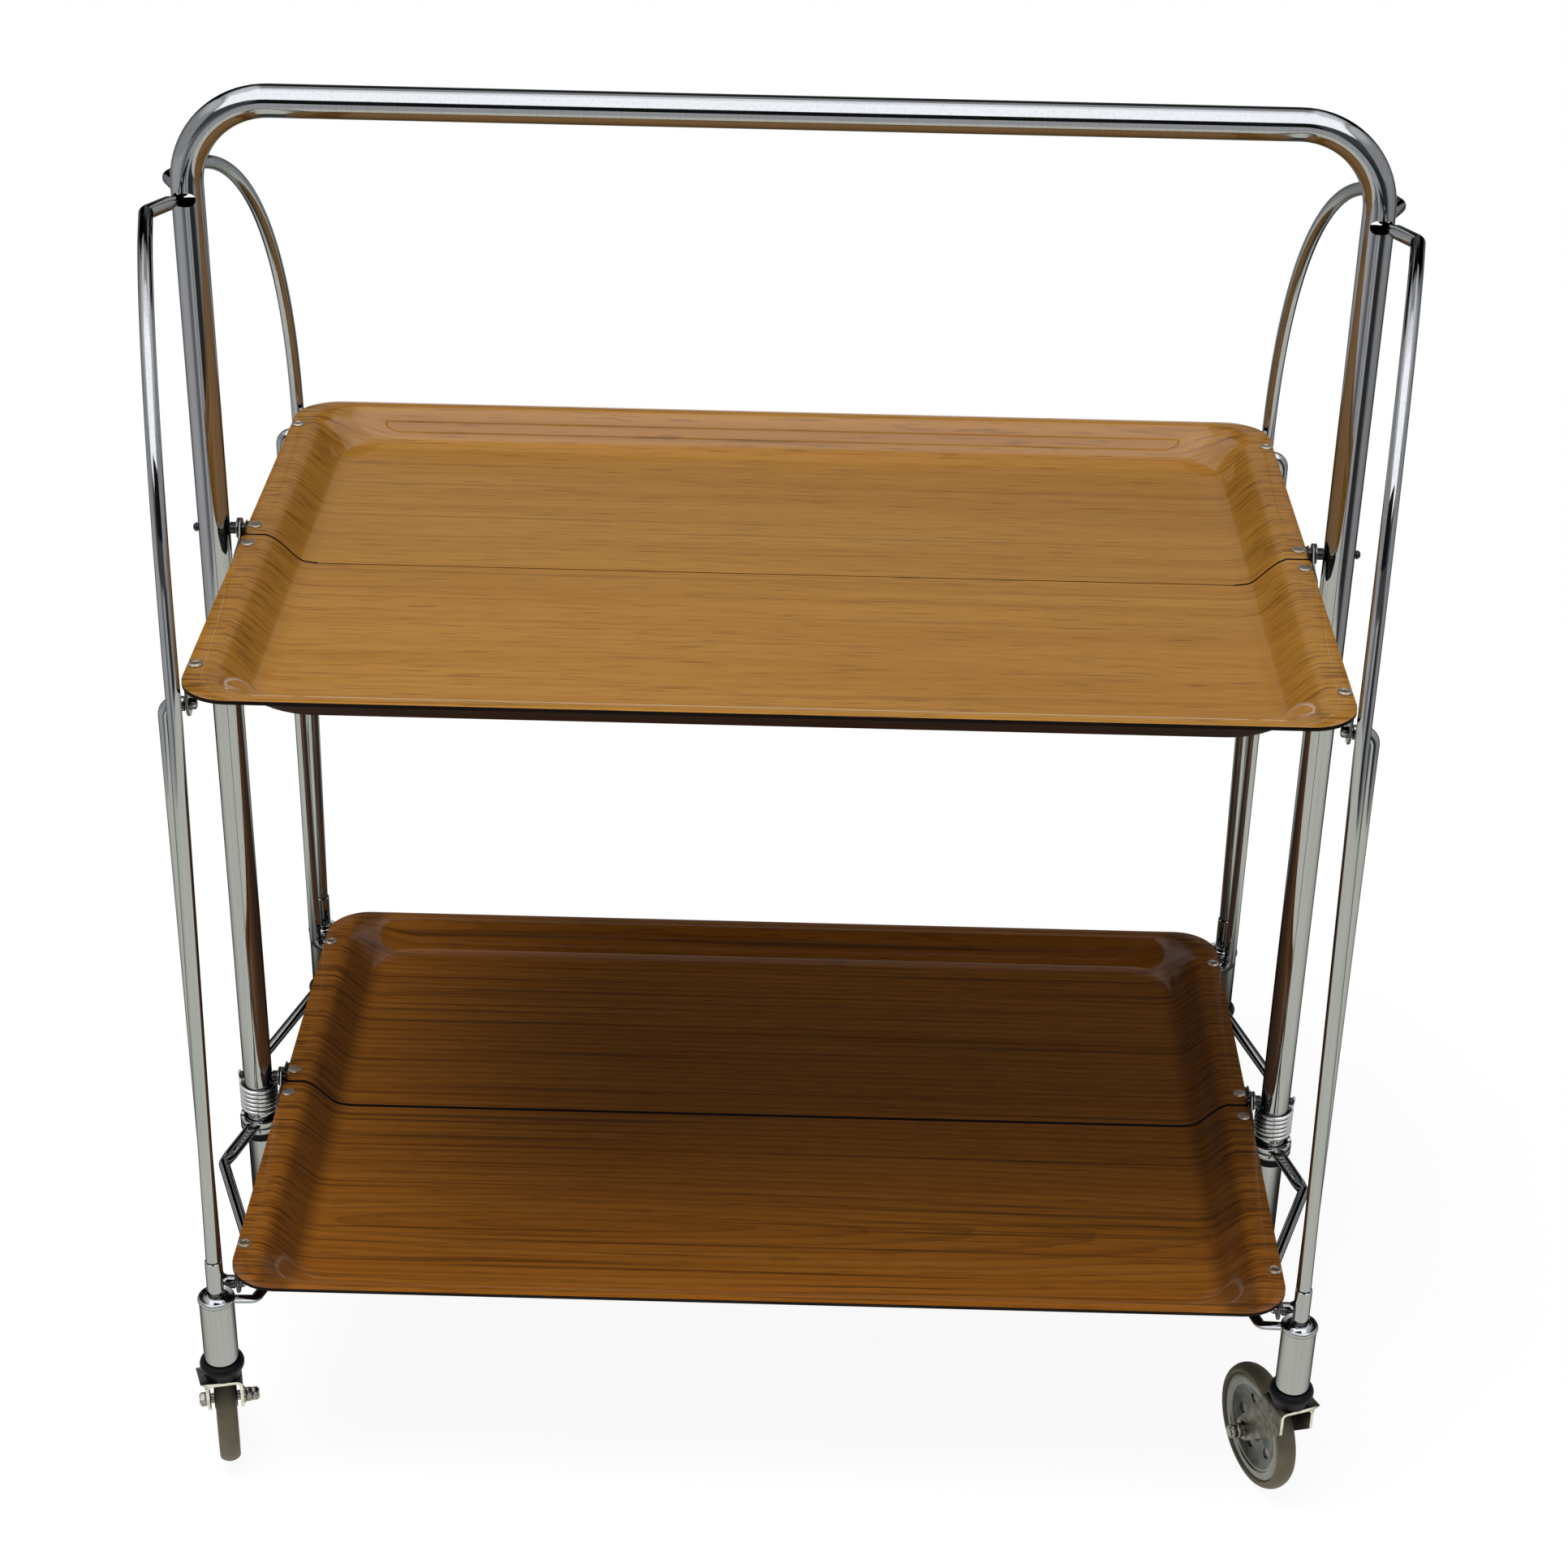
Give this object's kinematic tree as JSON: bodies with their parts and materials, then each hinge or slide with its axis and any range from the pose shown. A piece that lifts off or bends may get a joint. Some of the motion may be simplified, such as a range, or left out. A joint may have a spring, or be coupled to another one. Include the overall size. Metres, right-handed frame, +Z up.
{
  "type": "folding serving trolley",
  "caption": "Folding serving trolley on swivel casters: pressed wooden trays hinged along the middle, hung in a chromed tube handle frame with linked struts and bent leg rods.",
  "frame": {"origin": "on the floor under the middle of the trolley, at the bottom centre of its box", "axes": "+Z up, +X along the trays' length to the right seen from the front, +Y from front to back"},
  "size_m": [0.6824, 0.4321, 0.786],
  "materials": {
    "chrome_frame": "polished chrome plate on steel tube",
    "chrome_rod": "polished chrome plate on steel bar",
    "teak": "teak veneer on thin pressed plywood under clear lacquer",
    "black_steel": "black finish on pressed steel, bare at the edges",
    "spring_steel": "bright drawn wire",
    "black_plastic": "moulded black plastic",
    "zinc_steel": "dull zinc plate on pressed steel",
    "grey_plastic": "moulded grey plastic",
    "grey_tyre": "grey rubber"
  },
  "bodies": {
    "frame": {"handle_frame": "chrome_frame", "tube_plug_left": "black_plastic", "tube_plug_right": "black_plastic", "hinge_pin_upper_left": "black_steel", "hinge_pin_upper_right": "black_steel", "hinge_pin_lower_left": "black_steel", "hinge_pin_lower_right": "black_steel", "leg_rod_front_left": "chrome_rod", "leg_rod_front_right": "chrome_rod", "leg_rod_back_left": "chrome_rod", "leg_rod_back_right": "chrome_rod", "caster_tube_front_left": "chrome_rod", "caster_tube_front_right": "chrome_rod", "caster_tube_back_left": "chrome_rod", "caster_tube_back_right": "chrome_rod", "caster_socket_front_left": "black_plastic", "caster_socket_front_right": "black_plastic", "caster_socket_back_left": "black_plastic", "caster_socket_back_right": "black_plastic", "leg_collar_left": "black_plastic", "leg_collar_right": "black_plastic", "return_spring_left": "spring_steel", "return_spring_right": "spring_steel"},
    "upper_front_half": {"upper_tray_front": "teak", "hinge_leaf_upper_front_left": "black_steel", "hinge_leaf_upper_front_right": "black_steel", "corner_bracket_upper_front_left": "black_steel", "corner_bracket_upper_front_right": "black_steel"},
    "upper_back_half": {"upper_tray_back": "teak", "hinge_leaf_upper_back_left": "black_steel", "hinge_leaf_upper_back_right": "black_steel", "corner_bracket_upper_back_left": "black_steel", "corner_bracket_upper_back_right": "black_steel"},
    "lower_front_half": {"lower_tray_front": "teak", "hinge_leaf_lower_front_left": "black_steel", "hinge_leaf_lower_front_right": "black_steel", "corner_bracket_lower_front_left": "black_steel", "corner_bracket_lower_front_right": "black_steel"},
    "lower_back_half": {"lower_tray_back": "teak", "hinge_leaf_lower_back_left": "black_steel", "hinge_leaf_lower_back_right": "black_steel", "corner_bracket_lower_back_left": "black_steel", "corner_bracket_lower_back_right": "black_steel"},
    "front_left_strut": {"strut_front_left": "chrome_rod"},
    "front_right_strut": {"strut_front_right": "chrome_rod"},
    "back_left_strut": {"strut_back_left": "chrome_rod"},
    "back_right_strut": {"strut_back_right": "chrome_rod"},
    "front_left_fork": {"caster_fork_front_left": "zinc_steel"},
    "front_right_fork": {"caster_fork_front_right": "zinc_steel"},
    "back_left_fork": {"caster_fork_back_left": "zinc_steel"},
    "back_right_fork": {"caster_fork_back_right": "zinc_steel"},
    "front_left_wheel": {"wheel_hub_front_left": "grey_plastic", "tyre_front_left": "grey_tyre"},
    "front_right_wheel": {"wheel_hub_front_right": "grey_plastic", "tyre_front_right": "grey_tyre"},
    "back_left_wheel": {"wheel_hub_back_left": "grey_plastic", "tyre_back_left": "grey_tyre"},
    "back_right_wheel": {"wheel_hub_back_right": "grey_plastic", "tyre_back_right": "grey_tyre"}
  },
  "joints": [
    {"name": "upper_front_fold", "type": "hinge", "parent": "frame", "child": "upper_front_half", "pos_m": [0, 0, 0.5288], "axis": [-1, 0, 0], "range_deg": [0, 88]},
    {"name": "upper_back_fold", "type": "hinge", "parent": "frame", "child": "upper_back_half", "pos_m": [0, 0, 0.5288], "axis": [1, 0, 0], "range_deg": [0, 88]},
    {"name": "lower_front_fold", "type": "hinge", "parent": "frame", "child": "lower_front_half", "pos_m": [0, 0, 0.1518], "axis": [-1, 0, 0], "range_deg": [0, 88]},
    {"name": "lower_back_fold", "type": "hinge", "parent": "frame", "child": "lower_back_half", "pos_m": [0, 0, 0.1518], "axis": [1, 0, 0], "range_deg": [0, 88]},
    {"name": "front_left_strut_pivot", "type": "hinge", "parent": "upper_front_half", "child": "front_left_strut", "pos_m": [-0.301, -0.185, 0.511], "axis": [-1, 0, 0], "range_deg": [-88, 0]},
    {"name": "front_right_strut_pivot", "type": "hinge", "parent": "upper_front_half", "child": "front_right_strut", "pos_m": [0.301, -0.185, 0.511], "axis": [-1, 0, 0], "range_deg": [-88, 0]},
    {"name": "back_left_strut_pivot", "type": "hinge", "parent": "upper_back_half", "child": "back_left_strut", "pos_m": [-0.301, 0.185, 0.511], "axis": [1, 0, 0], "range_deg": [-88, 0]},
    {"name": "back_right_strut_pivot", "type": "hinge", "parent": "upper_back_half", "child": "back_right_strut", "pos_m": [0.301, 0.185, 0.511], "axis": [1, 0, 0], "range_deg": [-88, 0]},
    {"name": "front_left_swivel", "type": "hinge", "parent": "frame", "child": "front_left_fork", "pos_m": [-0.311, -0.203, 0.0812], "axis": [0, 0, 1], "continuous": true},
    {"name": "front_right_swivel", "type": "hinge", "parent": "frame", "child": "front_right_fork", "pos_m": [0.311, -0.203, 0.0812], "axis": [0, 0, 1], "continuous": true},
    {"name": "back_left_swivel", "type": "hinge", "parent": "frame", "child": "back_left_fork", "pos_m": [-0.311, 0.203, 0.0812], "axis": [0, 0, 1], "continuous": true},
    {"name": "back_right_swivel", "type": "hinge", "parent": "frame", "child": "back_right_fork", "pos_m": [0.311, 0.203, 0.0812], "axis": [0, 0, 1], "continuous": true},
    {"name": "front_left_roll", "type": "hinge", "parent": "front_left_fork", "child": "front_left_wheel", "pos_m": [-0.31786, -0.17328, 0.038], "axis": [-0.9744, -0.225, 0], "continuous": true},
    {"name": "front_right_roll", "type": "hinge", "parent": "front_right_fork", "child": "front_right_wheel", "pos_m": [0.30007, -0.17453, 0.038], "axis": [-0.9336, -0.3584, 0], "continuous": true},
    {"name": "back_left_roll", "type": "hinge", "parent": "back_left_fork", "child": "back_left_wheel", "pos_m": [-0.30675, 0.1728, 0.038], "axis": [0.9903, 0.1392, 0], "continuous": true},
    {"name": "back_right_roll", "type": "hinge", "parent": "back_right_fork", "child": "back_right_wheel", "pos_m": [0.30781, 0.17267, 0.038], "axis": [0.9945, -0.1045, 0], "continuous": true}
  ],
  "couplings": [
    {"joint": "lower_front_fold", "follows": "upper_front_fold", "ratio": 1},
    {"joint": "front_left_strut_pivot", "follows": "upper_front_fold", "ratio": -1},
    {"joint": "front_right_strut_pivot", "follows": "upper_front_fold", "ratio": -1},
    {"joint": "lower_back_fold", "follows": "upper_back_fold", "ratio": 1},
    {"joint": "back_left_strut_pivot", "follows": "upper_back_fold", "ratio": -1},
    {"joint": "back_right_strut_pivot", "follows": "upper_back_fold", "ratio": -1}
  ]
}
